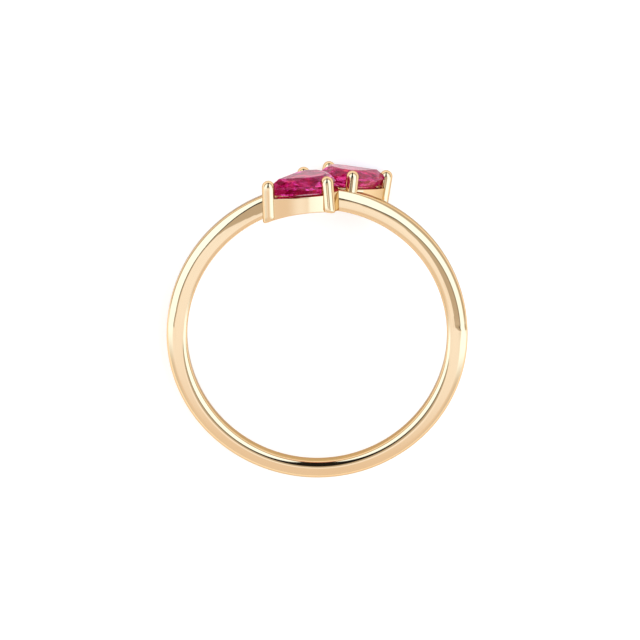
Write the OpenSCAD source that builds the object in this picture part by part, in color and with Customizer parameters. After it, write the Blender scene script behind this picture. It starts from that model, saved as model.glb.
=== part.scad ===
// Gold ring with two pear-cut rubies set side by side, points outwards, one in front of the other.
// Millimetres. The ring is drawn flat, its finger hole along Z and its head towards +Y, with the face
// that the photograph shows upwards. Then it is tipped the little way that it leans as it lies.

/* [Finger hole] */
// Inside diameter of the shank
finger_d = 17.3; // [15:0.1:22]

/* [Shank] */
// Width along the finger
shank_w = 1.5; // [1.3:0.1:2.5]
// Thickness at the two sides and along both arms
shank_t_side = 1.38; // [1.3:0.01:2]
// Distance of the lower outline's arc centres from the finger's axis. The bottom is thinner than the
// sides by 0.586 of it.
oval_c = 0.4158; // [0:0.0001:0.8]
// Radius on the two outer edges
outer_edge_r = 0.55; // [0.1:0.05:0.6]
// Radius on the two inner edges
inner_edge_r = 0.3; // [0.1:0.05:0.35]
// How far each arm has moved along the finger where it reaches the head
arm_shift = 0.35; // [0:0.05:0.35]

/* [Stones] */
// Width of the round end
stone_w = 3; // [2.6:0.1:3.1]
// Length from the round end to the point
stone_l = 4.9; // [4.7:0.1:5.2]
// Height from the girdle to the table
crown_h = 0.5; // [0.35:0.05:0.6]
// Depth from the girdle to the culet
pavilion_h = 1.28; // [1:0.02:1.4]
// Thickness of the girdle
girdle_t = 0.08; // [0.04:0.02:0.16]
// Depth of the steep tier below the girdle
belly_h = 0.5; // [0.3:0.02:0.52]
// Slope of that tier, in degrees
belly_a = 62; // [55:1:70]
// Width of the table at the round end, as a share of the stone's width
table_share = 0.6; // [0.5:0.01:0.65]
// The same share at the point
table_tip = 0.76; // [0.65:0.01:0.8]
// Clear gap between a stone and its metal
stone_gap = 0.04; // [0.02:0.01:0.1]

/* [Settings] */
// Distance of each round end's centre from the middle of the head, across the head
head_x = 1; // [0.95:0.05:1.3]
// The same distance along the finger
head_z = 1.3; // [1.2:0.05:1.5]
// Height of the girdle above the finger hole, at that centre
girdle_up = 1.97; // [1.8:0.01:2.4]
// Turn of each stone away from the line across the head, in degrees
stone_turn = 30.5; // [24:0.5:36]
// Dip of each stone towards its point, in degrees
stone_dip = 6.3; // [0:0.1:9]
// Distance of a wall's rim below the girdle
rim_drop = 0.62; // [0.5:0.02:0.8]
// How far a wall's outside lies beyond the stone's edge
wall_out = 0.2; // [0:0.02:0.25]
// How far the settings' undersides stand back from the finger hole
setting_lift = 0.2; // [0:0.05:0.3]
// How far a wall's inside lies within the stone's edge
wall_in = 0.35; // [0.3:0.05:0.5]

/* [Prongs] */
// Diameter of the wire
prong_d = 0.84; // [0.6:0.02:0.9]
// Height of the side prongs' ends above the girdle
side_prong_up = 0.6; // [0.56:0.02:0.8]
// Height of the point's prong above the girdle
tip_prong_up = 0.54; // [0.5:0.02:0.8]
// Distance of the prong at the point from the round end's centre
tip_prong_l = 3.4; // [3.3:0.05:3.8]
// Distance between the two prongs at the round end
side_prong_w = 3.1; // [3:0.05:3.6]
// Lean of these two towards the stone, in degrees
prong_lean = 6; // [0:0.5:8]
// How far these two stand beyond the round end's centre
side_prong_u = 0.2; // [0:0.05:0.5]

/* [Hidden] */
$fn = 64;
finger_r = finger_d / 2;
stone_r = stone_w / 2;
tip_l = stone_l - stone_r;
prong_r = prong_d / 2;
girdle_y = finger_r + girdle_up;
// Reach of the blanks and tools that are trimmed afterwards
deep = 4;
far = 8;

// The lower shank's outline is half an oval of three arcs
side_arc_r = finger_r + shank_t_side - oval_c;
bottom_arc_r = side_arc_r + sqrt(2) * oval_c;
// The arms are round, turned about an upright line in the shank's side, and end past the head's
// middle. The turn's cosine is kept to six figures, so that an arm and the lower shank meet exactly.
arm_r = finger_r + shank_t_side;
arm_hinge = arm_r - shank_t_side / 2;
arm_turn = acos(round(1000000 * cos(asin(arm_shift / arm_hinge))) / 1000000);
arm_end = 92;
bore_trim = 0.03;

// The pear's long sides are arcs that leave the round end side_start degrees past its widest place
side_start = 12;
side_m = (pow(tip_l, 2) - pow(stone_r, 2)) / (2 * (stone_r - tip_l * sin(side_start)));
side_r = stone_r + side_m;
side_c = side_m * [sin(side_start), -cos(side_start)];
// Direction in which the edge faces where the sides meet in the point
tip_a = 180 - asin(-side_c.y / side_r);

// Directions of the main facets around half a stone, from its round end to its point
mains = [0, 42, 84, 108, tip_a];
last_main = len(mains) - 1;
// Slopes of the star and girdle facets as shares of the main ones
star_share = 0.58;
upper_share = 1.26;
belly_slope = tan(belly_a);
culet_t = 0.04;

// How the ring lies on its back: it leans on the back setting and on the left of its shank, and the
// base of its box is centred on the origin
rest_pitch = 6.41;
rest_roll = -4.98;
rest_lift = 2.064;
rest_y = -0.852;

// Point of the stone's edge that faces direction a, for the half with y above 0
function spot(a) =
    a <= 90 + side_start
    ? stone_r * [cos(a), sin(a)]
    : side_c + side_r * [cos(a), sin(a)];

// Distance of that edge from the round end's centre, along direction a
function reach(a) = spot(a) * [cos(a), sin(a)];

module lie_down() {
    translate([0, rest_y, rest_lift])
        rotate([0, rest_roll, 0])
            rotate([rest_pitch, 0, 0])
                children();
}

// Both settings, the back one being the front one turned half round
module front_setting() {
    translate([-head_x, girdle_y, head_z])
        rotate([0, stone_turn, 0])
            rotate([-90, 0, 0])
                rotate([0, -stone_dip, 0])
                    children();
}

module back_setting() {
    rotate([0, 180, 0]) front_setting() children();
}

// Outline of a stone grown by g all round, with its round end's centre at the origin
module pear(g = 0) {
    circle(stone_r + g);
    intersection() {
        translate(side_c) circle(side_r + g);
        translate([side_c.x, -side_c.y]) circle(side_r + g);
        translate([-far - stone_r * sin(side_start), -far / 2]) square(far);
    }
}

// Everything outside a facet that faces direction a, starts at distance d and height z, and has a
// rise of slope for each unit inwards. g moves the facet outwards.
module facet(a, d, z, slope, g = 0) {
    rotate([0, 0, a])
        translate([d, 0, z])
            rotate([0, atan(slope), 0])
                translate([-far / 2, -far / 2, g])
                    cube([far, far, far]);
}

module both_sides(a) {
    children();
    if (a > 0)
        mirror([0, 1, 0]) children();
}

// Share of the stone's width that is left flat at main facet i
function table_at(i) = table_share + (table_tip - table_share) * pow(i / last_main, 3);

// Slope of a crown facet in direction a, for the share left flat there
function crown_slope(a, share) = crown_h / ((1 - share) * reach(a));

// Main facets from the girdle to the table
module crown_mains(g = 0) {
    for (i = [0:last_main])
        both_sides(mains[i])
            facet(mains[i], reach(mains[i]), girdle_t / 2, crown_slope(mains[i], table_at(i)), g);
}

// Pairs of facets between neighbouring main ones, with a slope of their own
module between_mains(g = 0) {
    for (i = [0:last_main - 1], k = [0.25, 0.75]) {
        a = mains[i] + k * (mains[i + 1] - mains[i]);
        slope = $below ? belly_slope : upper_share * crown_slope(a, table_at(i + k));
        both_sides(a) facet(a, reach(a), girdle_t / 2, slope, g);
    }
}

// Star facets, each along one side of the table
module star_facets() {
    for (i = [0:last_main - 1]) {
        p = table_at(i) * spot(mains[i]);
        q = table_at(i + 1) * spot(mains[i + 1]);
        a = atan2(q.y - p.y, q.x - p.x) - 90;
        slope = star_share * crown_slope((mains[i] + mains[i + 1]) / 2, table_at(i + 0.5));
        both_sides(1) facet(a, p * [cos(a), sin(a)], girdle_t / 2 + crown_h, slope);
    }
}

// The underside: a steep tier at the girdle, then main facets down to the culet
module pavilion(g = 0) {
    mirror([0, 0, 1]) {
        between_mains(g, $below = true);
        for (a = mains) {
            d = reach(a) - belly_h / belly_slope;
            both_sides(a) facet(a, d, girdle_t / 2 + belly_h, (pavilion_h - belly_h) / d, g);
        }
    }
}

// A cut stone, its girdle at height 0 and its table upwards
module stone() {
    difference() {
        translate([0, 0, -pavilion_h - girdle_t / 2 + culet_t])
            linear_extrude(pavilion_h + girdle_t + crown_h - culet_t) pear();
        crown_mains();
        between_mains($below = false);
        star_facets();
        pavilion();
    }
}

// The room that a stone takes in its metal, larger by the gap
module stone_room() {
    difference() {
        translate([0, 0, -pavilion_h - girdle_t])
            linear_extrude(pavilion_h + crown_h + 2 * girdle_t) pear(stone_gap);
        crown_mains(stone_gap);
        pavilion(stone_gap);
    }
}

// Closed wall that follows the stone, from its rim down to the finger hole
module setting_wall() {
    translate([0, 0, -deep]) linear_extrude(deep - rim_drop) pear(wall_out);
}

// Opening inside that wall, below the stone
module setting_hole() {
    translate([0, 0, -deep]) linear_extrude(deep + crown_h) pear(-wall_in);
}

// A round wire with a domed end, which leans about its place at the girdle
module prong(up, lean = 0) {
    dome_z = up - prong_r;
    rotate([lean, 0, 0]) rotate_extrude() {
        translate([0, -deep]) square([prong_r, deep + dome_z]);
        intersection() {
            translate([0, dome_z]) circle(prong_r);
            translate([0, dome_z]) square(far);
        }
    }
}

module prongs() {
    translate([-tip_prong_l, 0, 0]) prong(tip_prong_up);
    for (s = [-1, 1])
        translate([side_prong_u, s * side_prong_w / 2, 0]) prong(side_prong_up, s * prong_lean);
}

// A wall and its prongs, before the stone's room is cut
module setting() {
    setting_wall();
    prongs();
}

// Half-round section of the shank, from inside_r to outside_r, with all four edges rounded
module shank_section(inside_r, outside_r) {
    edges = [[inside_r + inner_edge_r, inner_edge_r], [outside_r - outer_edge_r, outer_edge_r]];
    translate([edges[0][0], -shank_w / 2]) square([edges[1][0] - edges[0][0], shank_w]);
    translate([inside_r, inner_edge_r - shank_w / 2])
        square([edges[0][0] - inside_r, shank_w - 2 * inner_edge_r]);
    translate([edges[1][0], outer_edge_r - shank_w / 2])
        square([outer_edge_r, shank_w - 2 * outer_edge_r]);
    for (e = edges, s = [-1, 1])
        translate([e[0], s * (shank_w / 2 - e[1])]) circle(e[1]);
}

// A stretch of the shank's outside that starts in direction a and turns by 45 degrees, to the left or
// to the right, along the arc around [cx, cy]
module outer_arc(a, turn, arc_r, cx, cy) {
    translate([cx, cy, 0])
        rotate([0, 0, a])
            rotate_extrude(angle = turn)
                shank_section(arc_r - 3 * shank_t_side, arc_r);
}

// The shank's lower right quarter, from its bottom to the right side
module quarter_shank() {
    intersection() {
        union() {
            outer_arc(270, 45, bottom_arc_r, 0, oval_c);
            outer_arc(0, -45, side_arc_r, oval_c, 0);
        }
        rotate([0, 0, 270])
            rotate_extrude(angle = 90)
                shank_section(finger_r - bore_trim, arm_r + shank_t_side);
    }
}

// The right arm, which comes forward to the front setting. Its section is rolled back by the arm's
// turn, so that it meets the lower shank's section.
module front_arm() {
    translate([arm_hinge, 0, 0])
        rotate([0, arm_turn, 0])
            translate([-arm_hinge, 0, 0])
                rotate_extrude(angle = arm_end)
                    translate([arm_hinge, 0])
                        rotate(arm_turn)
                            translate([-arm_hinge, 0])
                                shank_section(finger_r - bore_trim, arm_r);
}

module half_shank() {
    quarter_shank();
    front_arm();
}

module finger_hole(r) {
    cylinder(h = 3 * far, r = r, center = true);
}

// Two walls with their prongs, standing clear of the finger hole
module settings() {
    difference() {
        union() {
            front_setting() setting();
            back_setting() setting();
        }
        finger_hole(finger_r + setting_lift);
    }
}

// What is taken out of a setting for its stone
module seat() {
    setting_hole();
    stone_room();
}

module ring_metal() {
    color("#E9BE86") lie_down()
        difference() {
            union() {
                half_shank();
                rotate([0, 180, 0]) half_shank();
                settings();
            }
            finger_hole(finger_r);
            front_setting() seat();
            back_setting() seat();
        }
}

module ruby_front() {
    color("#B4154F") lie_down() front_setting() stone();
}

module ruby_back() {
    color("#B4154F") lie_down() back_setting() stone();
}

ring_metal();
ruby_front();
ruby_back();
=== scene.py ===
"""Gold ring with two pear-cut rubies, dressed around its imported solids."""

import math

import bmesh
import bpy
from bpy.props import FloatProperty, FloatVectorProperty
from mathutils import Matrix, Vector


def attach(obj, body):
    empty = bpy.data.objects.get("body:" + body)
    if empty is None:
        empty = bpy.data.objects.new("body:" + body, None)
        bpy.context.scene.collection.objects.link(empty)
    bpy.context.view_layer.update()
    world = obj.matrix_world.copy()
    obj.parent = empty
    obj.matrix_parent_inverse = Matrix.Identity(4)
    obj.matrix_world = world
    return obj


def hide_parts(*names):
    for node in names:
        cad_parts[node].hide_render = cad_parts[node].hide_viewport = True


bl_info = {
    "name": "Two-stone Ruby Ring",
    "version": (1, 0, 0),
    "blender": (4, 5, 0),
    "location": "View3D > Sidebar > Ruby Ring",
    "description": "Builds the ring's polished gold, its cut rubies and a small studio",
    "category": "Object",
}

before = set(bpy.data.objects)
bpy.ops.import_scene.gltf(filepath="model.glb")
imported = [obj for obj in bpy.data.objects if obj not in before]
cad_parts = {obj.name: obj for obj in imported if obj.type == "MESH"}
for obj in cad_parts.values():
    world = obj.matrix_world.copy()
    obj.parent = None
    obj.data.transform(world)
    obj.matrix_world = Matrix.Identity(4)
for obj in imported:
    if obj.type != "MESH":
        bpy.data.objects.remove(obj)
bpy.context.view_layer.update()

MM = 0.001

# Points closer than this, in millimetres, are one point
NEAR = 1e-4

# Sizes and places of the solids, in millimetres and degrees. First the shank: radius of the finger hole,
# width along the finger, thickness, radii of its edges, and how far the lower outline's arc centres lie
# from the finger's axis
FINGER_R = 8.65
SHANK_W = 1.5
SHANK_T = 1.38
OUTER_EDGE, INNER_EDGE = 0.55, 0.3
OVAL_C = 0.4158
# The arms are round and turn about an upright line in the shank's side. The turn's cosine is kept to
# four figures.
ARM_SHIFT = 0.35
ARM_R = FINGER_R + SHANK_T
ARM_HINGE = ARM_R - SHANK_T / 2
ARM_TURN = math.acos(round(math.cos(math.asin(ARM_SHIFT / ARM_HINGE)), 4))
ARM_END = 92.0
# The stones: radius of the round end, length from its centre to the point, and direction in which the
# long sides leave the round end, past its widest place
STONE_R = 1.5
TIP_L = 3.4
SIDE_START = 12.0
# The round end's centre as it stands on the ring, its height above the finger hole, and the stones' turn
# and dip
HEAD_X, HEAD_Z = 1.0, 1.3
GIRDLE_UP = 1.97
GIRDLE_Y = FINGER_R + GIRDLE_UP
STONE_TURN, STONE_DIP = 30.5, 6.3
# The walls: drop of the rim below the girdle, reach beyond and within the stone's edge, and gap to the
# finger hole's surface
RIM_DROP = 0.62
WALL_OUT, WALL_IN = 0.2, 0.35
SETTING_LIFT = 0.2
# The prongs: radius, heights above the girdle, distances from the round end's centre, and lean
PRONG_R = 0.42
SIDE_UP, TIP_UP = 0.6, 0.54
TIP_PRONG_L = 3.4
SIDE_PRONG_W, SIDE_PRONG_U = 3.1, 0.2
PRONG_LEAN = 6.0

# Fine work on the shank, in millimetres. How far below the finger's middle the arms' tip fades out, and
# the width over which a slanted strip gets its slant
TIP_FADE = 3.0
STRIP_FADE = 0.1
# The outer edge's last quick fall, as a share of its width, and its power
END_FALL, END_POWER = 0.14, 8
# The lower inner edge is rounded more widely: how much at the bottom, how much more at the sides, and how
# far below the finger's middle the whole of it is reached
LOWER_WIDER, SIDES_WIDER, WIDER_FADE = 0.24, 0.1, 5.0
# The arms' edges, on the side where an arm comes forward and where it goes back: direction, distance
# from the finger's axis at which the slanted strip starts, width of the outer edge's rounding, and how
# much of it is a plain chamfer
FORWARD_ARM = (
    (0, 9.48, 0.55, 0),
    (6.4, 9.56, 0.47, 0),
    (8, 9.15, 0.47, 0),
    (30, 9.22, 0.47, 0),
    (60, 9.46, 0.57, 0),
    (70, 9.46, 0.55, 0.45),
    (80, 9.46, 0.5, 0.85),
    (92, 9.46, 0.5, 0.9),
)
BACKWARD_ARM = (
    (0, 9.48, 0.55, 0),
    (6, 9.5, 0.53, 0.5),
    (24, 9.56, 0.5, 0.6),
    (45, 9.42, 0.42, 0.75),
    (62, 9.2, 0.25, 0.75),
    (92, 9.2, 0.25, 0.75),
)
# How the ring lies on its back: its lean, and the place of the finger hole's middle
REST_PITCH, REST_ROLL = 6.41, -4.98
REST_Y, REST_LIFT = -0.852, 2.064

# Loops of a prong's dome, wire and foot
DOME_LOOPS, WIRE_LOOPS, FOOT_LOOPS = 12, 10, 6

# Patterns in the materials, in repeats for each millimetre; the ruby's splinters are painted glints and
# shade
BUFFING, TONE, SILK, PAINTED_GLINTS = 5, 0.26, 0.9, 4.5

# The view of the photograph: how far it looks down over the ring's top, lean of its picture, distance,
# width of the picture in pixels and on the sensor, scale, and the pixel at which the finger hole's middle
# shows
VIEW_UP, VIEW_LEAN = 12.9, 3.85
VIEW_D = 450.0
PIXELS, SENSOR = 640, 36.0
PIXELS_PER_MM = 15.0
RING_AT = (317.1, 333.6)

# The room, in directions of length 1 in the frame of the ring lying flat. ROOM_MIDDLE is the y of the
# direction that lights the ring's flat face, GLOW_RISE lifts the glow towards the sides, and STRIP_SHIFT
# moves the dark strip to the left.
ROOM_MIDDLE = -0.22
GLOW_RISE = 0.3
STRIP_SHIFT = 0.07
SOFT_WHITE = (0.93, 0.9, 0.92, 1)
# Soft edges: name, what it is measured along, where it starts and ends, and its levels there
ROOM_EDGES = (
    ("glow_height", "glow", -0.08, 0.02, 0, 1),
    ("glow_width", "across", 0.25, 0.5, 1, 0.5),
    ("shade_height", "height", 0.05, 0.08, 0, 1),
    ("shade_side", "x", 0.06, 0.1, 0, 1),
    ("sides", "across", 0.35, 0.85, 0, 1),
    ("wall_bearing", "bearing", -0.3, 0, 0, 1),
    ("wall_foot", "out", 0.38, 0.44, 0, 1),
    ("skirting_bearing", "bearing", 0, 0.2, 0, 1),
    ("skirting_top", "z", 0.38, 0.28, 0, 1),
    ("gap_bearing", "bearing", 0.03, 0.08, 0, 1),
    ("gap_start", "out", 0.11, 0.15, 0, 1),
    ("gap_end", "out", 0.46, 0.4, 0, 1),
    ("gap_grey", "out", 0.32, 0.38, 0.6, 0.3),
    ("strip_width", "taper", 0.2, 0.16, 0, 1),
    ("strip_start", "out", 0.36, 0.42, 0, 1),
    ("strip_bearing", "bearing", 0.1, 0.3, 0, 1),
)
# Parts laid over the soft white, one over the other: the soft edges that bound a part, and its light,
# which for the gap is a soft edge's level
ROOM_PARTS = (
    (("glow_height", "glow_width"), (1.12, 1.27, 1.56, 1)),
    (("shade_height", "shade_side"), SOFT_WHITE),
    (("sides",), (0.8, 0.82, 0.88, 1)),
    (("wall_bearing", "wall_foot"), (1.3, 1.75, 2.4, 1)),
    (("skirting_bearing", "skirting_top"), (0.62, 0.6, 0.58, 1)),
    (("gap_bearing", "gap_start", "gap_end"), "gap_grey"),
    (("strip_width", "strip_start", "strip_bearing"), (0.015, 0.015, 0.015, 1)),
)

# Places


def turn(degrees, axis):
    """A turn about one of the three axes."""
    return Matrix.Rotation(math.radians(degrees), 4, axis)


LIE_DOWN = (
    Matrix.Translation((0, REST_Y, REST_LIFT)) @ turn(REST_ROLL, "Y") @ turn(REST_PITCH, "X")
)
FRONT = (
    Matrix.Translation((-HEAD_X, GIRDLE_Y, HEAD_Z))
    @ turn(STONE_TURN, "Y")
    @ turn(-90, "X")
    @ turn(-STONE_DIP, "Y")
)
# Half a turn that brings the front setting onto the back one, in metres
HALF_TURN = (
    Matrix.Scale(MM, 4) @ LIE_DOWN @ turn(180, "Y") @ LIE_DOWN.inverted() @ Matrix.Scale(1 / MM, 4)
)

# The pear's long sides are arcs of radius SIDE_R around SIDE_C
SIDE_SIN = math.sin(math.radians(SIDE_START))
SIDE_COS = math.cos(math.radians(SIDE_START))
SIDE_M = (TIP_L**2 - STONE_R**2) / (2 * (STONE_R - TIP_L * SIDE_SIN))
SIDE_R = STONE_R + SIDE_M
SIDE_C = (SIDE_M * SIDE_SIN, -SIDE_M * SIDE_COS)


def pear_point(share, grown):
    """Point on the pear's outline, grown by a distance, for a share of the way from round end to tip."""
    tip_x = SIDE_C[0] - math.sqrt((SIDE_R + grown) ** 2 - SIDE_C[1] ** 2)
    tip_a = math.degrees(math.atan2(-SIDE_C[1], tip_x - SIDE_C[0]))
    a = share * tip_a
    r, c = (STONE_R + grown, (0, 0)) if a < 90 + SIDE_START else (SIDE_R + grown, SIDE_C)
    return Vector((c[0] + r * math.cos(math.radians(a)), c[1] + r * math.sin(math.radians(a)), 0))


# Modelling


def add_node(tree, kind, inputs=None, **settings):
    """Adds a shader node with its settings, and puts values or other nodes' outputs on its inputs."""
    node = tree.nodes.new(kind)
    for name, value in settings.items():
        setattr(node, name, value)
    for name, value in (inputs or {}).items():
        if isinstance(value, bpy.types.NodeSocket):
            tree.links.new(value, node.inputs[name])
        else:
            node.inputs[name].default_value = value
    return node


def srgb(hex_colour):
    """Linear colour of an sRGB hex value."""
    parts = [int(hex_colour[i : i + 2], 16) / 255 for i in (1, 3, 5)]
    return tuple(c / 12.92 if c <= 0.04045 else ((c + 0.055) / 1.055) ** 2.4 for c in parts)


def only(obj):
    """Makes obj the one selected and active object."""
    bpy.ops.object.select_all(action="DESELECT")
    obj.select_set(True)
    bpy.context.view_layer.objects.active = obj


def started(name):
    """Names the primitive just added and opens it in edit mode."""
    obj = bpy.context.active_object
    obj.name = obj.data.name = name
    only(obj)
    bpy.ops.object.mode_set(mode="EDIT")
    return obj


def pick(obj, test, mode="VERT"):
    """Selects the vertices or edges of the mesh in edit mode that pass a test."""
    mesh = bmesh.from_edit_mesh(obj.data)
    bpy.context.tool_settings.mesh_select_mode = (mode == "VERT", mode == "EDGE", False)
    for item in (*mesh.verts, *mesh.edges, *mesh.faces):
        item.select = False
    for item in mesh.verts if mode == "VERT" else mesh.edges:
        if test(item):
            item.select_set(True)
    mesh.select_flush_mode()
    bmesh.update_edit_mesh(obj.data)


def shaped(obj, move):
    """Moves each vertex of a mesh in object mode."""
    for v in obj.data.vertices:
        v.co = move(v.co.copy())
    obj.data.update()


def copied(source, name):
    """A loose copy of a piece with a mesh of its own."""
    obj = source.copy()
    obj.data = source.data.copy()
    obj.name = obj.data.name = name
    obj.parent = None
    bpy.context.scene.collection.objects.link(obj)
    return obj


def applied(obj, kind, **settings):
    """Adds a modifier and applies it."""
    only(obj)
    modifier = obj.modifiers.new(kind.title(), kind)
    for name, value in settings.items():
        setattr(modifier, name, value)
    bpy.ops.object.modifier_apply(modifier=modifier.name)


def ridden(obj):
    """Lets a metal piece ride on the ring."""
    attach(obj, "root")


def finished_piece(obj, place, smooth):
    """Brings a metal piece to its place, in metres and in its mesh, and polishes it.

    Edges that turn by less than smooth, in degrees, are shaded smooth.
    """
    obj.data.transform(Matrix.Scale(MM, 4) @ place)
    only(obj)
    bpy.ops.object.mode_set(mode="EDIT")
    bpy.ops.mesh.select_all(action="SELECT")
    bpy.ops.mesh.remove_doubles(threshold=NEAR * MM)
    bpy.ops.mesh.normals_make_consistent(inside=False)
    bpy.ops.object.mode_set(mode="OBJECT")
    bpy.ops.object.shade_smooth_by_angle(angle=math.radians(smooth))
    applied(obj, "WEIGHTED_NORMAL", keep_sharp=True, weight=80)
    obj.data.materials.clear()
    obj.data.materials.append(bpy.data.materials["polished_gold"])
    ridden(obj)
    return obj


# Materials


def new_material(name):
    """An empty node material."""
    material = bpy.data.materials.new(name)
    material.use_nodes = True
    material.node_tree.nodes.clear()
    return material


def polished_gold():
    """Yellow gold alloy, lapped and polished: a warm mirror, its gloss broken a little by buffing."""
    looks = bpy.context.scene.ring_looks
    material = new_material("polished_gold")
    tree = material.node_tree
    where = add_node(tree, "ShaderNodeTexCoord").outputs["Object"]
    # Buffing marks about a fifth of a millimetre apart
    marks = add_node(tree, "ShaderNodeTexNoise", {"Vector": where, "Scale": BUFFING / MM, "Detail": 3})
    gloss = add_node(
        tree,
        "ShaderNodeMapRange",
        {
            "Value": marks.outputs["Fac"],
            "To Min": looks.gold_roughness * (1 - looks.buffing_share),
            "To Max": looks.gold_roughness * (1 + looks.buffing_share),
        },
    )
    # The alloy's faint change of tone, over about four millimetres
    tone = add_node(tree, "ShaderNodeTexNoise", {"Vector": where, "Scale": TONE / MM, "Detail": 2})
    colour = add_node(
        tree,
        "ShaderNodeMix",
        {
            "Factor": tone.outputs["Fac"],
            "A": (*looks.gold_light, 1),
            "B": (*looks.gold_deep, 1),
        },
        data_type="RGBA",
    )
    shader = add_node(
        tree,
        "ShaderNodeBsdfPrincipled",
        {
            "Base Color": colour.outputs["Result"],
            "Roughness": gloss.outputs["Result"],
            "Metallic": 1,
            # Painted shade: a brown tint on the edge-on reflections darkens the gold's outlines
            "Specular Tint": (*looks.gold_rim_painted_shade, 1),
        },
    )
    add_node(tree, "ShaderNodeOutputMaterial", {"Surface": shader.outputs["BSDF"]})
    return material


def cut_ruby():
    """Ruby, cut and polished: deep crimson that light passes through, in flat glossy facets."""
    looks = bpy.context.scene.ring_looks
    material = new_material("cut_ruby")
    tree = material.node_tree
    where = add_node(tree, "ShaderNodeTexCoord").outputs["Object"]
    # Painted glints and shade: light and dark splinters, about 0.2 millimetres wide and 0.6 long, are
    # painted into the colour to stand for the underside's facets seen through the stone
    drawn = add_node(tree, "ShaderNodeMapping", {"Vector": where, "Scale": (0.35, 1, 1)}).outputs[0]
    painted_glint_patches = add_node(tree, "ShaderNodeTexVoronoi", {"Vector": drawn, "Scale": PAINTED_GLINTS / MM})
    painted_glint_chance = add_node(tree, "ShaderNodeSeparateColor", {"Color": painted_glint_patches.outputs["Color"]})
    # Silk, the stone's fine cloudiness, about a millimetre across
    silk = add_node(tree, "ShaderNodeTexNoise", {"Vector": where, "Scale": SILK / MM, "Detail": 3})
    light = add_node(
        tree,
        "ShaderNodeMix",
        {"Factor": looks.silk_share, "A": painted_glint_chance.outputs["Red"], "B": silk.outputs["Fac"]},
        data_type="FLOAT",
    )
    # Most painted splinters, with the silk, are then wholly dark or wholly light
    light = add_node(
        tree, "ShaderNodeMapRange", {"Value": light.outputs["Result"], "From Min": 0.3, "From Max": 0.65}
    )
    colour = add_node(
        tree,
        "ShaderNodeMix",
        {
            "Factor": light.outputs["Result"],
            "A": (*looks.ruby_shade_and_silk_deep, 1),
            "B": (*looks.ruby_glint_and_silk_light, 1),
        },
        data_type="RGBA",
    )
    shader = add_node(
        tree,
        "ShaderNodeBsdfPrincipled",
        {
            "Base Color": colour.outputs["Result"],
            # Ruby's faint red fluorescence in daylight, and also a painted glow that lifts its dark body
            "Emission Color": (*looks.ruby_fluorescence_and_painted_glow, 1),
            "Emission Strength": looks.ruby_fluorescence_and_painted_glow_strength,
            "Roughness": 0,
            "IOR": 1.77,
            "Specular Tint": (*looks.ruby_gloss, 1),
            "Transmission Weight": looks.ruby_clarity,
        },
    )
    add_node(tree, "ShaderNodeOutputMaterial", {"Surface": shader.outputs["BSDF"]})
    return material


def white_card():
    """Matt white card: no gloss, and lit a little from below as on a light table."""
    looks = bpy.context.scene.stage_looks
    material = new_material("white_card")
    tree = material.node_tree
    shader = add_node(
        tree,
        "ShaderNodeBsdfPrincipled",
        {
            "Base Color": (*looks.floor_colour, 1),
            "Roughness": 0.9,
            "Specular IOR Level": 0,
            "Emission Color": (1, 1, 1, 1),
            "Emission Strength": looks.table_light,
        },
    )
    add_node(tree, "ShaderNodeOutputMaterial", {"Surface": shader.outputs["BSDF"]})
    return material


# Properties


class RingSizes(bpy.types.PropertyGroup):
    """Fine sizes of the metal."""

    face_crown: FloatProperty(
        name="Face crown",
        description="How far the shank's flat faces fall away towards its outside",
        default=0.045 * MM,
        min=0,
        subtype="DISTANCE",
        unit="LENGTH",
    )
    strip_slant: FloatProperty(
        name="Strip slant",
        description="Slant of the strip along each arm's outer edge",
        default=math.radians(4.2),
        subtype="ANGLE",
        unit="ROTATION",
    )
    rim_edge: FloatProperty(
        name="Rim edge",
        description="Rounding of the settings' edges",
        default=0.03 * MM,
        min=0.01 * MM,
        max=0.12 * MM,
        subtype="DISTANCE",
        unit="LENGTH",
    )
    prong_foot: FloatProperty(
        name="Prong foot",
        description="Rounding of the prongs' lower ends",
        default=0.2 * MM,
        min=0.05 * MM,
        max=0.3 * MM,
        subtype="DISTANCE",
        unit="LENGTH",
    )
    seat_gap: FloatProperty(
        name="Seat gap",
        description="Clear gap between the prongs and the stones",
        default=0.03 * MM,
        min=0,
        subtype="DISTANCE",
        unit="LENGTH",
    )


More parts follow.
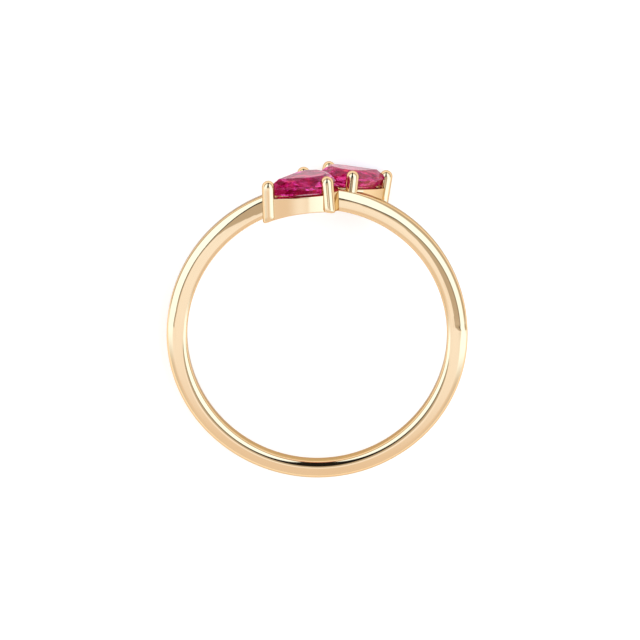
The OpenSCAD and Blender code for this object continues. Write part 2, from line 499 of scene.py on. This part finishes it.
class RingLooks(bpy.types.PropertyGroup):
    """Colours and finishes of the ring."""

    gold_light: FloatVectorProperty(
        name="Gold, light",
        description="Lighter tone of the gold alloy",
        subtype="COLOR",
        min=0,
        max=1,
        default=srgb("#F2D0A2"),
    )
    gold_deep: FloatVectorProperty(
        name="Gold, deep",
        description="Deeper tone of the gold alloy",
        subtype="COLOR",
        min=0,
        max=1,
        default=srgb("#EFC998"),
    )
    # Painted shade: this brown tint darkens the gold's reflections where it is seen edge-on, drawing its
    # dark outlines
    gold_rim_painted_shade: FloatVectorProperty(
        name="Gold, at a slant",
        description="Tint of the gold where it is seen almost edge-on",
        subtype="COLOR",
        min=0,
        max=1,
        default=srgb("#C2AF95"),
    )
    gold_roughness: FloatProperty(
        name="Gold roughness",
        description="Roughness of the polished gold",
        default=0.07,
        min=0,
        max=1,
    )
    buffing_share: FloatProperty(
        name="Buffing",
        description="How far the buffing marks change the gold's roughness, as a share of it",
        default=0.3,
        min=0,
        max=1,
        subtype="FACTOR",
    )
    # Painted glints: the bright patches stand for facet glints seen through the stone, partly the silk's
    # lighter cloud
    ruby_glint_and_silk_light: FloatVectorProperty(
        name="Ruby, light",
        description="Colour of the ruby's bright patches",
        subtype="COLOR",
        min=0,
        max=1,
        default=srgb("#F24A9C"),
    )
    # Painted shade: the dark patches stand for the facets' shade seen through the stone, partly the silk's
    # darker cloud
    ruby_shade_and_silk_deep: FloatVectorProperty(
        name="Ruby, deep",
        description="Colour of the ruby's dark patches",
        subtype="COLOR",
        min=0,
        max=1,
        default=srgb("#80002E"),
    )
    ruby_gloss: FloatVectorProperty(
        name="Ruby gloss",
        description="Tint of the light that the facets mirror",
        subtype="COLOR",
        min=0,
        max=1,
        default=srgb("#D890C0"),
    )
    # Partly the ruby's fluorescence, partly a painted glow that brightens the stone's dark body
    ruby_fluorescence_and_painted_glow: FloatVectorProperty(
        name="Ruby glow",
        description="Colour of the ruby's faint glow in daylight",
        subtype="COLOR",
        min=0,
        max=1,
        default=srgb("#FF2068"),
    )
    # Strength of that partly painted glow
    ruby_fluorescence_and_painted_glow_strength: FloatProperty(
        name="Ruby glow light",
        description="Strength of that glow",
        default=0.045,
        min=0,
        max=1,
    )
    silk_share: FloatProperty(
        name="Silk",
        description="Share of the fine cloudiness in the stones' light and dark",
        default=0.3,
        min=0,
        max=1,
        subtype="FACTOR",
    )
    ruby_clarity: FloatProperty(
        name="Ruby clarity",
        description="Share of the light that passes through the stones",
        default=0.92,
        min=0,
        max=1,
        subtype="FACTOR",
    )


class StageLooks(bpy.types.PropertyGroup):
    """The studio."""

    floor_colour: FloatVectorProperty(
        name="Floor",
        description="Colour of the floor",
        subtype="COLOR",
        min=0,
        max=1,
        default=srgb("#D7CBBC"),
    )
    table_light: FloatProperty(
        name="Table light",
        description="Glow of the light table under the floor",
        default=0.56,
        min=0,
        max=5,
    )
    room_light: FloatProperty(
        name="Room light",
        description="Strength of the soft room",
        default=1,
        min=0,
        max=10,
    )


# Pieces


def rounded_section():
    """Adds the shank's section at its right side: a plane with its corners bevelled, its face removed."""

    def on_flat_face(e):
        return abs(e.verts[0].co.z - e.verts[1].co.z) < NEAR and e.calc_length() > INNER_EDGE

    bpy.ops.mesh.primitive_plane_add(size=1, location=(ARM_HINGE, 0, 0), rotation=(math.pi / 2, 0, 0))
    only(bpy.context.active_object)
    bpy.context.active_object.scale = (SHANK_T, SHANK_W, 1)
    bpy.ops.object.transform_apply(location=True, rotation=True, scale=True)
    obj = started("shank")
    pick(obj, lambda v: v.co.x > ARM_HINGE)
    bpy.ops.mesh.bevel(offset=OUTER_EDGE, segments=12, affect="VERTICES", clamp_overlap=False)
    pick(obj, lambda v: v.co.x < FINGER_R + NEAR)
    bpy.ops.mesh.bevel(offset=INNER_EDGE, segments=12, affect="VERTICES", clamp_overlap=False)
    bpy.ops.mesh.select_all(action="SELECT")
    bpy.ops.mesh.delete(type="ONLY_FACE")
    # Points across both flat faces, for the arms to be shaped by
    pick(obj, on_flat_face, "EDGE")
    bpy.ops.mesh.subdivide(number_cuts=9)
    bpy.ops.mesh.select_all(action="SELECT")
    return obj


def arm_edge(a, face):
    """The arms' edges in direction a, in degrees, on the upper face (1) or the lower one (-1)."""
    if face < 0:
        a = 180 - a
    table, a = (FORWARD_ARM, a) if a < 90 else (BACKWARD_ARM, 180 - a)
    for (a0, *values0), (a1, *values1) in zip(table, table[1:]):
        if a <= a1:
            t = max(a - a0, 0) / (a1 - a0)
            return [v0 + t * (v1 - v0) for v0, v1 in zip(values0, values1)]
    return table[-1][1:]


def outline_r(a):
    """Distance of the shank's outside from the finger's axis, in direction a, over its lower half."""
    side_r = ARM_R - OVAL_C
    bottom_r = side_r + math.sqrt(2) * OVAL_C
    corner = math.atan2(side_r / math.sqrt(2), OVAL_C + side_r / math.sqrt(2))
    c, s = abs(math.cos(a)), abs(math.sin(a))
    if math.atan2(s, c) < corner:
        return OVAL_C * c + math.sqrt(side_r**2 - (OVAL_C * s) ** 2)
    return math.sqrt(bottom_r**2 - (OVAL_C * c) ** 2) - OVAL_C * s


def clamped(share):
    """A share kept between 0 and 1."""
    return min(max(share, 0), 1)


def worked(p, crown, slant):
    """Files the shank's spun shape: crowned faces, the arms' strips, softer edges and a thinner bottom."""
    upper = p.y >= -NEAR
    a, r = math.atan2(p.y, p.x), math.hypot(p.x, p.y)
    side = math.copysign(1, p.x)
    # The arms' tip fades out a little way down
    lean = p.x - side * ARM_HINGE if upper else side * (r - ARM_HINGE) * max(1 + p.y / TIP_FADE, 0)
    mid = -math.tan(ARM_TURN) * lean
    face = 1 if p.z > mid else -1
    half = abs(p.z - mid)
    if half > SHANK_W / 2 - OUTER_EDGE + NEAR:
        start, edge, chamfer = arm_edge(math.degrees(a) if upper else 0, face)
        flat_end = ARM_R - edge
        if r > min(start, flat_end):
            half = SHANK_W / 2 - clamped((flat_end - start) / STRIP_FADE) * slant * (r - start)
            # The outer edge falls away to about 45 degrees, and quickly at its end
            t = clamped((r - flat_end) / edge)
            half -= edge * (chamfer * t + (1 - chamfer) * t**2 + END_FALL * t**END_POWER) / 2
    if not upper:
        # Below the arms the inner edge is rounded more widely
        wider = clamped(-p.y / WIDER_FADE) * (LOWER_WIDER + SIDES_WIDER * abs(math.cos(a)))
        wide = INNER_EDGE + wider
        if r < FINGER_R + INNER_EDGE:
            r = FINGER_R + (r - FINGER_R) * wide / INNER_EDGE
        else:
            r = ARM_R - (ARM_R - r) * (SHANK_T - wide) / (SHANK_T - INNER_EDGE)
    half -= crown * ((r - FINGER_R) / SHANK_T) ** 2 * min(half / (SHANK_W / 2), 1)
    if not upper:
        r = FINGER_R + (r - FINGER_R) * (outline_r(a) - FINGER_R) / SHANK_T
    return Vector((r * math.cos(a), r * math.sin(a), mid + face * half))


class RING_OT_shank(bpy.types.Operator):
    """Spins the shank's section round the finger hole and along both arms"""

    bl_idname = "ring.shank"
    bl_label = "Shank"

    def execute(self, context):
        sizes = context.scene.ring_sizes
        obj = rounded_section()
        s, c = math.sin(ARM_TURN), math.cos(ARM_TURN)
        middle = (ARM_HINGE * (1 - c), 0, ARM_HINGE * s)
        pick(obj, lambda v: v.co.x > 0)
        bpy.ops.mesh.spin(steps=180, angle=math.pi, center=(0, 0, 0), axis=(0, 0, 1))
        # Each arm turns about its own slightly tipped line. The right one's goes through middle, and the
        # left one's is that line turned half round.
        for side in (-1, 1):
            pick(obj, lambda v: abs(v.co.y) < NEAR and v.co.x * side > 0)
            bpy.ops.mesh.spin(
                steps=184,
                angle=-math.radians(ARM_END),
                center=(side * middle[0], 0, side * middle[2]),
                axis=(side * s, 0, side * c),
            )
            bpy.ops.mesh.edge_face_add()
        bpy.ops.object.mode_set(mode="OBJECT")
        shaped(obj, lambda p: worked(p, sizes.face_crown / MM, math.tan(sizes.strip_slant)))
        finished_piece(obj, LIE_DOWN, smooth=60)
        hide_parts("ring_metal")
        return {"FINISHED"}


def above_bore(p, place, lift):
    """How far a point of a setting stands above the finger hole's wall, along the setting's own height."""
    start, down = place @ p, place.to_3x3() @ Vector((0, 0, -1))
    r = FINGER_R + lift
    a = down.x**2 + down.y**2
    b = start.x * down.x + start.y * down.y
    c = start.x**2 + start.y**2 - r**2
    return (-b - math.sqrt(b * b - a * c)) / a


def setting_wall(place):
    """A wall that follows the stone: a round tube, thickened, shaped to the pear and the finger, rounded."""
    bpy.ops.mesh.primitive_circle_add(vertices=160, radius=STONE_R + WALL_OUT, fill_type="NOTHING")
    obj = started("wall_front")
    bpy.ops.mesh.select_all(action="SELECT")
    # Shares of the wall's height: loops close to the rim and the foot hold the side between them flat
    for step in (0.06, 0.44, 0.44, 0.06):
        bpy.ops.mesh.extrude_region_move(TRANSFORM_OT_translate={"value": (0, 0, -step)})
    bpy.ops.mesh.select_all(action="SELECT")
    bpy.ops.mesh.normals_make_consistent(inside=False)
    bpy.ops.object.mode_set(mode="OBJECT")
    applied(obj, "SOLIDIFY", thickness=WALL_OUT + WALL_IN, offset=-1.0, use_even_offset=True)

    def settled(p):
        a = math.degrees(math.atan2(p.y, p.x))
        rim = pear_point(abs(a) / 180, WALL_OUT if p.xy.length > STONE_R else -WALL_IN)
        rim.y = math.copysign(rim.y, a)
        rim.z = -RIM_DROP
        return rim + Vector((0, 0, above_bore(rim, place, SETTING_LIFT) * p.z))

    shaped(obj, settled)
    applied(
        obj,
        "BEVEL",
        width=bpy.context.scene.ring_sizes.rim_edge / MM,
        segments=3,
        limit_method="ANGLE",
        angle_limit=math.radians(45),
    )
    return obj


def prong_wire():
    """A round wire with a domed end, the dome's centre at the origin, and loops for its rounded foot."""
    bpy.ops.mesh.primitive_circle_add(vertices=48, radius=PRONG_R, fill_type="NOTHING")
    obj = started("prong_wire")
    bpy.ops.mesh.select_all(action="SELECT")
    r_now, z_now = PRONG_R, 0.0
    for i in range(1, DOME_LOOPS):
        a = math.pi / 2 * i / DOME_LOOPS
        r, z = PRONG_R * math.cos(a), PRONG_R * math.sin(a)
        bpy.ops.mesh.extrude_region_move(TRANSFORM_OT_translate={"value": (0, 0, z - z_now)})
        bpy.ops.transform.resize(value=(r / r_now, r / r_now, 1), center_override=(0, 0, z))
        r_now, z_now = r, z
    bpy.ops.mesh.extrude_region_move(TRANSFORM_OT_translate={"value": (0, 0, PRONG_R - z_now)})
    bpy.ops.mesh.merge(type="CENTER")
    # The wire's loops lie a millimetre apart until it is trimmed
    pick(obj, lambda v: abs(v.co.z) < NEAR)
    for i in range(WIRE_LOOPS):
        bpy.ops.mesh.extrude_region_move(TRANSFORM_OT_translate={"value": (0, 0, -1)})
    foot = bpy.context.scene.ring_sizes.prong_foot / MM
    r_now = PRONG_R
    for i in range(1, FOOT_LOOPS + 1):
        r = PRONG_R - foot * (1 - math.cos(math.pi / 2 * i / FOOT_LOOPS))
        bpy.ops.mesh.extrude_region_move(TRANSFORM_OT_translate={"value": (0, 0, -1)})
        bpy.ops.transform.resize(value=(r / r_now, r / r_now, 1), center_override=(0, 0, 0))
        r_now = r
    # A loop half as wide in the foot's end face, which a cap closes
    bpy.ops.mesh.extrude_region_move(TRANSFORM_OT_translate={"value": (0, 0, -1)})
    bpy.ops.transform.resize(value=(0.5, 0.5, 1), center_override=(0, 0, 0))
    bpy.ops.mesh.edge_face_add()
    bpy.ops.object.mode_set(mode="OBJECT")
    return obj


def trimmed_wire(obj, place):
    """Shortens a wire to end at the finger hole's wall, with the loops of its foot closed up there."""
    foot = bpy.context.scene.ring_sizes.prong_foot / MM

    def settled(p):
        loop = round(-p.z)
        if loop < 1:
            return p
        depth = above_bore(Vector((p.x, p.y, 0)), place, SETTING_LIFT)
        if loop <= WIRE_LOOPS:
            return Vector((p.x, p.y, -(depth - foot) * loop / WIRE_LOOPS))
        a = math.pi / 2 * min(loop - WIRE_LOOPS, FOOT_LOOPS) / FOOT_LOOPS
        return Vector((p.x, p.y, foot * (1 - math.sin(a)) - depth))

    shaped(obj, settled)


def stone_room(node):
    """A merged copy of a stone, larger by the seat gap, to cut the prongs with."""
    room = copied(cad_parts[node], "stone_room")
    only(room)
    bpy.ops.object.mode_set(mode="EDIT")
    bpy.ops.mesh.select_all(action="SELECT")
    bpy.ops.mesh.remove_doubles(threshold=NEAR * MM)
    bpy.ops.mesh.normals_make_consistent(inside=False)
    gap = bpy.context.scene.ring_sizes.seat_gap
    bpy.ops.transform.shrink_fatten(value=gap, use_even_offset=True)
    bpy.ops.object.mode_set(mode="OBJECT")
    return room


class RING_OT_settings(bpy.types.Operator):
    """Makes the front setting's wall and three prongs, and copies them for the back one"""

    bl_idname = "ring.settings"
    bl_label = "Settings"

    def execute(self, context):
        wall = setting_wall(FRONT)
        pieces = [finished_piece(wall, LIE_DOWN @ FRONT, smooth=40)]
        room, wire = stone_room("ruby_front"), prong_wire()
        side = SIDE_PRONG_W / 2
        # Each prong's name, its place at the girdle, the height of its end, and its lean
        for name, x, y, up, lean in (
            ("tip_prong_front", -TIP_PRONG_L, 0, TIP_UP, 0),
            ("far_prong_front", SIDE_PRONG_U, side, SIDE_UP, PRONG_LEAN),
            ("near_prong_front", SIDE_PRONG_U, -side, SIDE_UP, -PRONG_LEAN),
        ):
            prong = copied(wire, name)
            place = FRONT @ Matrix.Translation((x, y, 0)) @ turn(lean, "X")
            place = place @ Matrix.Translation((0, 0, up - PRONG_R))
            trimmed_wire(prong, place)
            pieces.append(finished_piece(prong, LIE_DOWN @ place, smooth=50))
            applied(prong, "BOOLEAN", operation="DIFFERENCE", solver="EXACT", object=room)
        bpy.data.objects.remove(room)
        bpy.data.objects.remove(wire)
        for piece in pieces:
            other = copied(piece, piece.name.replace("front", "back"))
            other.data.transform(HALF_TURN)
            ridden(other)
        return {"FINISHED"}


class RING_OT_stones(bpy.types.Operator):
    """Gives the cut stones their ruby"""

    bl_idname = "ring.stones"
    bl_label = "Stones"

    def execute(self, context):
        for name in ("ruby_front", "ruby_back"):
            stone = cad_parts[name]
            stone.data.materials.clear()
            stone.data.materials.append(bpy.data.materials["cut_ruby"])
        return {"FINISHED"}


# Stage


def soft_room():
    """A soft white room: bright cool walls, a grey gap above them and a dark strip across it."""
    world = bpy.data.worlds.new("soft_room")
    world.use_nodes = True
    tree = world.node_tree
    tree.nodes.clear()
    where = add_node(tree, "ShaderNodeTexCoord").outputs["Generated"]
    # Directions in the frame of the ring lying flat: x to its right, y towards its head, z upwards
    flat = add_node(
        tree,
        "ShaderNodeMapping",
        {"Vector": where, "Rotation": LIE_DOWN.inverted().to_euler()},
    ).outputs["Vector"]
    axes = add_node(tree, "ShaderNodeSeparateXYZ", {"Vector": flat}).outputs
    # Distance and bearing from the direction that lights the ring's flat face
    middle = add_node(
        tree, "ShaderNodeVectorMath", {0: flat, 1: (0, ROOM_MIDDLE, 0)}, operation="SUBTRACT"
    ).outputs[0]
    middle = add_node(
        tree, "ShaderNodeVectorMath", {0: middle, 1: (1, 1, 0)}, operation="MULTIPLY"
    ).outputs[0]
    height = add_node(tree, "ShaderNodeSeparateXYZ", {"Vector": middle}).outputs["Y"]
    across = add_node(tree, "ShaderNodeMath", {0: axes["X"]}, operation="ABSOLUTE").outputs[0]
    glow = add_node(
        tree, "ShaderNodeMath", {0: across, 1: GLOW_RISE, 2: height}, operation="MULTIPLY_ADD"
    ).outputs[0]
    out = add_node(tree, "ShaderNodeVectorMath", {0: middle}, operation="LENGTH").outputs["Value"]
    middle = add_node(tree, "ShaderNodeVectorMath", {0: middle}, operation="NORMALIZE").outputs[0]
    bearing = add_node(tree, "ShaderNodeSeparateXYZ", {"Vector": middle}).outputs["Y"]
    aside = add_node(tree, "ShaderNodeMath", {0: axes["X"], 1: STRIP_SHIFT}, operation="ADD").outputs[0]
    aside = add_node(tree, "ShaderNodeMath", {0: aside}, operation="ABSOLUTE").outputs[0]
    measures = {
        "x": axes["X"],
        "z": axes["Z"],
        "across": across,
        "height": height,
        "glow": glow,
        "out": out,
        "bearing": bearing,
        "taper": add_node(tree, "ShaderNodeMath", {0: aside, 1: out}, operation="MULTIPLY").outputs[0],
    }
    levels = {}
    for name, measure, low, high, start, end in ROOM_EDGES:
        levels[name] = add_node(
            tree,
            "ShaderNodeMapRange",
            {"Value": measures[measure], "From Min": low, "From Max": high, "To Min": start, "To Max": end},
            interpolation_type="SMOOTHSTEP",
        ).outputs["Result"]
    light = SOFT_WHITE
    for edges, colour in ROOM_PARTS:
        share = levels[edges[0]]
        for edge in edges[1:]:
            share = add_node(
                tree, "ShaderNodeMath", {0: share, 1: levels[edge]}, operation="MULTIPLY"
            ).outputs[0]
        light = add_node(
            tree,
            "ShaderNodeMix",
            {"Factor": share, "A": light, "B": levels.get(colour, colour)},
            data_type="RGBA",
        ).outputs["Result"]
    room = add_node(
        tree,
        "ShaderNodeBackground",
        {"Color": light, "Strength": bpy.context.scene.stage_looks.room_light},
    )
    add_node(tree, "ShaderNodeOutputWorld", {"Surface": room.outputs["Background"]})
    return world


class RING_OT_stage(bpy.types.Operator):
    """Lays the pale floor and sets the soft room and the camera"""

    bl_idname = "ring.stage"
    bl_label = "Stage"

    def execute(self, context):
        scene = context.scene
        bpy.ops.mesh.primitive_plane_add(size=2.0, location=(0, 0, 0))
        floor = bpy.context.active_object
        floor.name = "floor"
        floor.data.materials.append(white_card())
        scene.world = soft_room()

        # The picture's own axes, in the frame of the ring lying flat
        down, lean = math.radians(VIEW_UP), math.radians(VIEW_LEAN)
        right = Vector((math.cos(lean), math.sin(lean), 0))
        above = Vector((-math.sin(lean), math.cos(lean), 0))
        toward = math.sin(down) * above + Vector((0, 0, math.cos(down)))
        up = math.cos(down) * above - Vector((0, 0, math.sin(down)))
        at = toward * VIEW_D
        at += right * (PIXELS / 2 - RING_AT[0]) / PIXELS_PER_MM
        at += up * (RING_AT[1] - PIXELS / 2) / PIXELS_PER_MM
        bpy.ops.object.camera_add()
        camera = bpy.context.active_object
        camera.name = "photo_view"
        camera.data.sensor_width = SENSOR
        camera.data.lens = PIXELS_PER_MM * VIEW_D * SENSOR / PIXELS
        axes = Matrix((right, up, toward)).transposed().to_4x4()
        place = LIE_DOWN @ Matrix.Translation(at) @ axes
        camera.rotation_mode = "QUATERNION"
        camera.location = place.translation * MM
        camera.rotation_quaternion = place.to_quaternion()
        camera.data.clip_start, camera.data.clip_end = 0.01, 10
        scene.camera = camera
        scene.view_settings.view_transform = "Standard"
        scene.view_settings.look = "None"
        return {"FINISHED"}


class RING_PT_panel(bpy.types.Panel):
    """Lists the ring's pieces"""

    bl_idname = "RING_PT_panel"
    bl_label = "Ruby Ring"
    bl_space_type = "VIEW_3D"
    bl_region_type = "UI"
    bl_category = "Ruby Ring"

    def draw(self, context):
        column = self.layout.column()
        for step in STEPS:
            column.operator(step.bl_idname)
        for group in GROUPS:
            values = getattr(context.scene, group)
            for name in values.__annotations__:
                column.prop(values, name)


STEPS = (RING_OT_shank, RING_OT_settings, RING_OT_stones, RING_OT_stage)
GROUPS = {"ring_sizes": RingSizes, "ring_looks": RingLooks, "stage_looks": StageLooks}


def register():
    for item in (*GROUPS.values(), *STEPS, RING_PT_panel):
        bpy.utils.register_class(item)
    for name, group in GROUPS.items():
        setattr(bpy.types.Scene, name, bpy.props.PointerProperty(type=group))


def unregister():
    for name in GROUPS:
        delattr(bpy.types.Scene, name)
    for item in reversed((*GROUPS.values(), *STEPS, RING_PT_panel)):
        bpy.utils.unregister_class(item)


def main():
    register()
    polished_gold()
    cut_ruby()
    bpy.ops.ring.shank()
    bpy.ops.ring.settings()
    bpy.ops.ring.stones()
    bpy.ops.ring.stage()


if __name__ == "__main__":
    main()
